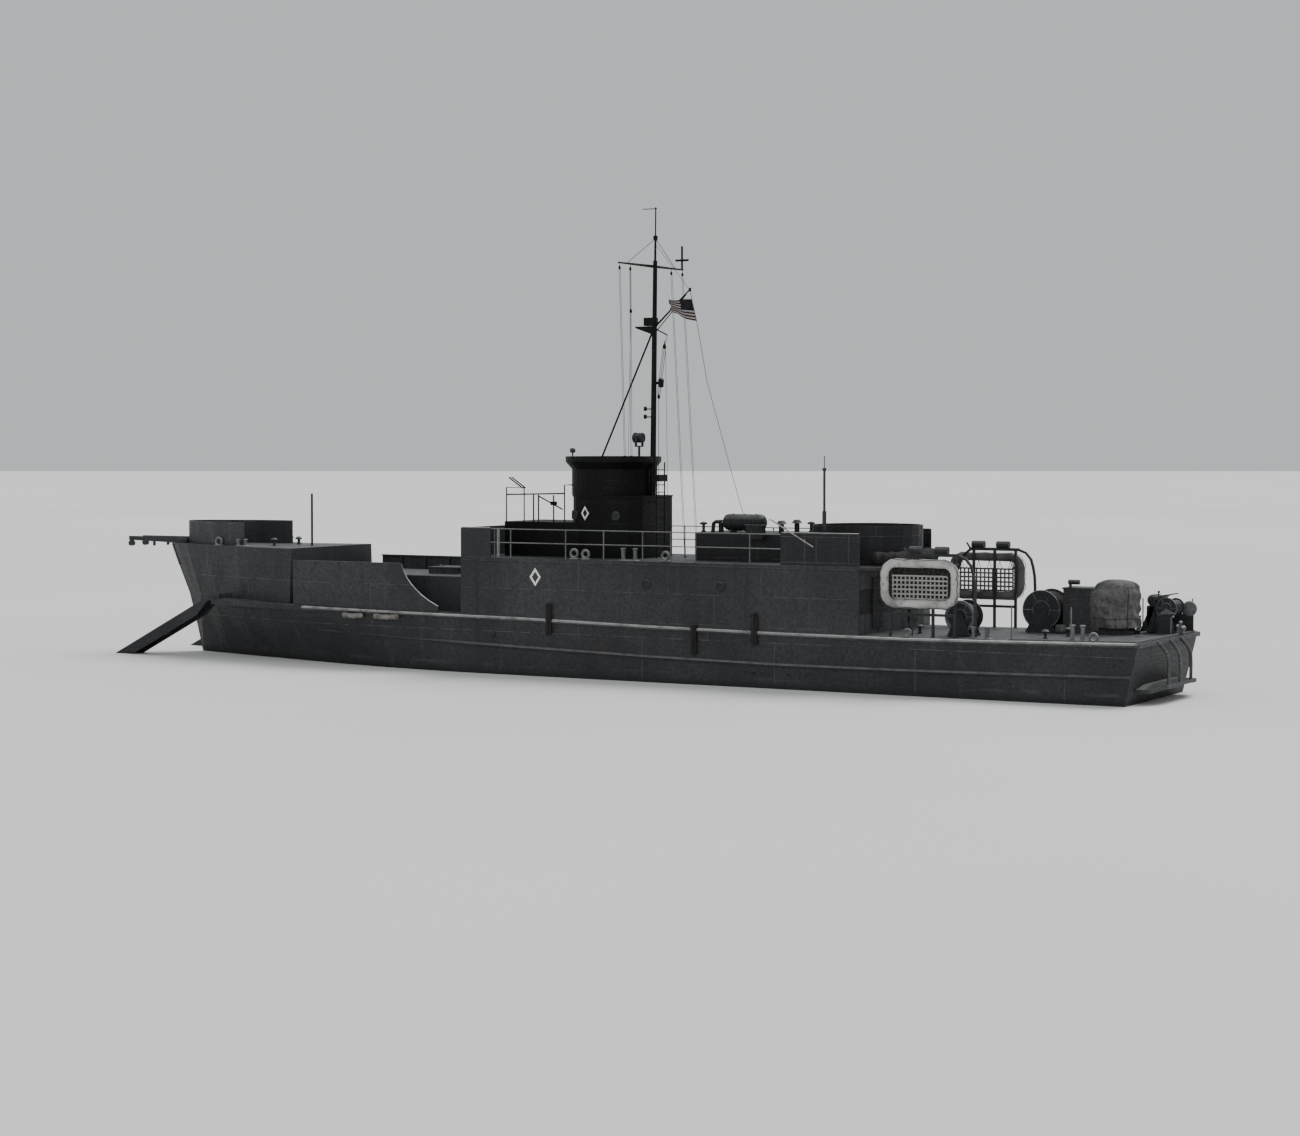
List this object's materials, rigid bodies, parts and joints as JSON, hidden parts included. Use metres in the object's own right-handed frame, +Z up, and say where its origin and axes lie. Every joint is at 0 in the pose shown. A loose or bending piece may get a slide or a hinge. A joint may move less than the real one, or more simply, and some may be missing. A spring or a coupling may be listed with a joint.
{
  "type": "large infantry landing craft with round conning tower, 1:2 scale model",
  "caption": "Seagoing infantry landing craft with a round conning tower and bow ramps lowered on both sides; 1:2 scale model.",
  "frame": {"origin": "amidships on the centreline at the waterline", "axes": "+X towards the bow, +Y to port, +Z up"},
  "size_m": [25.4135, 3.5506, 10.4551],
  "materials": {
    "hull": "weathered semi-matt dark naval paint with rust at the edges",
    "deck": "matt non-slip deck paint",
    "house": "weathered semi-matt dark naval paint",
    "guard": "dark paint rubbed bright along the edges",
    "steel": "dark painted steel fittings, greased and rusty in places",
    "bronze": "cast bronze",
    "raft": "weathered light grey painted canvas over balsa",
    "canvas": "heavy weathered canvas",
    "bunting": "striped woven bunting"
  },
  "bodies": {
    "craft": {"hull": "hull", "forecastle": "hull", "boat_deck": "deck", "pilot_house_roof": "deck", "troop_trunk": "deck", "house_side_port": "house", "house_side_starboard": "house", "house_front": "house", "house_aft": "house", "boat_deck_bulwark": "house", "side_shield_port": "house", "side_shield_starboard": "house", "after_tub": "house", "pilot_house": "house", "chart_house": "house", "engine_casing": "house", "tower": "house", "bow_shield": "house", "escape_trunk": "house", "deck_screen_port": "house", "deck_screen_starboard": "house", "upper_guard": "guard", "stern_rail": "guard", "boat_deck_rail_port": "guard", "boat_deck_rail_starboard": "guard", "tower_ladder": "steel", "mast": "steel", "catheads": "steel", "raft_rack_port": "steel", "raft_rack_starboard": "steel", "cable_reel_stand": "steel", "hawser_drum_stand": "steel", "winch_stand": "steel", "whip_aerial": "steel", "shaft_port": "steel", "shaft_starboard": "steel", "raft_port": "raft", "raft_starboard": "raft", "covered_engine": "canvas", "ensign": "bunting"},
    "ramp_port": {"ramp_port": "steel"},
    "ramp_starboard": {"ramp_starboard": "steel"},
    "propeller_port": {"propeller_port": "bronze"},
    "propeller_starboard": {"propeller_starboard": "bronze"},
    "rudder_port": {"rudder_port": "steel"},
    "rudder_starboard": {"rudder_starboard": "steel"},
    "aft_door_port": {"aft_door_port": "house"},
    "aft_door_starboard": {"aft_door_starboard": "house"},
    "pilot_house_door": {"pilot_house_door": "house"},
    "hatch_lid_fore": {"hatch_lid_fore": "deck"},
    "hatch_lid_aft": {"hatch_lid_aft": "deck"},
    "lamp_yoke": {"signal_lamp_yoke": "steel"},
    "lamp": {"signal_lamp": "steel"},
    "winch_drum": {"winch_drum": "steel"},
    "hawser_drum": {"hawser_drum": "steel"},
    "cable_reel": {"cable_reel": "steel"}
  },
  "joints": [
    {"name": "ramp_port_hinge", "type": "hinge", "parent": "craft", "child": "ramp_port", "pos_m": [9.82, 1.32, 1.36], "axis": [0, -1, 0], "range_deg": [-5, 27]},
    {"name": "ramp_starboard_hinge", "type": "hinge", "parent": "craft", "child": "ramp_starboard", "pos_m": [9.82, -1.32, 1.36], "axis": [0, -1, 0], "range_deg": [-5, 27]},
    {"name": "propeller_port_spin", "type": "hinge", "parent": "craft", "child": "propeller_port", "pos_m": [-10.525, 0.675, -0.45], "axis": [1, 0, 0], "continuous": true},
    {"name": "propeller_starboard_spin", "type": "hinge", "parent": "craft", "child": "propeller_starboard", "pos_m": [-10.525, -0.675, -0.45], "axis": [1, 0, 0], "continuous": true},
    {"name": "rudder_port_steer", "type": "hinge", "parent": "craft", "child": "rudder_port", "pos_m": [-11.25, 0.675, -0.49], "axis": [0, 0, 1], "range_deg": [-35, 35]},
    {"name": "rudder_starboard_steer", "type": "hinge", "parent": "craft", "child": "rudder_starboard", "pos_m": [-11.25, -0.675, -0.49], "axis": [0, 0, 1], "range_deg": [-35, 35]},
    {"name": "aft_door_port_hinge", "type": "hinge", "parent": "craft", "child": "aft_door_port", "pos_m": [-6.3303, 1.09, 1.7025], "axis": [0, 0, -1], "range_deg": [0, 110]},
    {"name": "aft_door_starboard_hinge", "type": "hinge", "parent": "craft", "child": "aft_door_starboard", "pos_m": [-6.3303, -1.09, 1.7025], "axis": [0, 0, 1], "range_deg": [0, 110]},
    {"name": "pilot_house_door_hinge", "type": "hinge", "parent": "craft", "child": "pilot_house_door", "pos_m": [0.1475, -0.8803, 2.9625], "axis": [0, 0, 1], "range_deg": [0, 110]},
    {"name": "hatch_lid_fore_hinge", "type": "hinge", "parent": "craft", "child": "hatch_lid_fore", "pos_m": [6.255, 0, 2.1228], "axis": [0, -1, 0], "range_deg": [0, 100]},
    {"name": "hatch_lid_aft_hinge", "type": "hinge", "parent": "craft", "child": "hatch_lid_aft", "pos_m": [3.905, 0, 2.1228], "axis": [0, -1, 0], "range_deg": [0, 100]},
    {"name": "signal_lamp_pan", "type": "hinge", "parent": "craft", "child": "lamp_yoke", "pos_m": [-0.525, 0.15, 4.5], "axis": [0, 0, 1], "range_deg": [-170, 170]},
    {"name": "signal_lamp_tilt", "type": "hinge", "parent": "lamp_yoke", "child": "lamp", "pos_m": [-0.525, 0.15, 4.93], "axis": [0, 1, 0], "range_deg": [-30, 60]},
    {"name": "winch_drum_turn", "type": "hinge", "parent": "craft", "child": "winch_drum", "pos_m": [-11.6, -1.09, 1.67], "axis": [0, 1, 0], "continuous": true},
    {"name": "hawser_drum_turn", "type": "hinge", "parent": "craft", "child": "hawser_drum", "pos_m": [-9.2, -0.75, 1.58], "axis": [0, 1, 0], "continuous": true},
    {"name": "cable_reel_turn", "type": "hinge", "parent": "craft", "child": "cable_reel", "pos_m": [-8.175, 0.95, 1.51], "axis": [0, 1, 0], "continuous": true}
  ],
  "couplings": [
    {"joint": "rudder_starboard_steer", "follows": "rudder_port_steer", "ratio": 1}
  ]
}
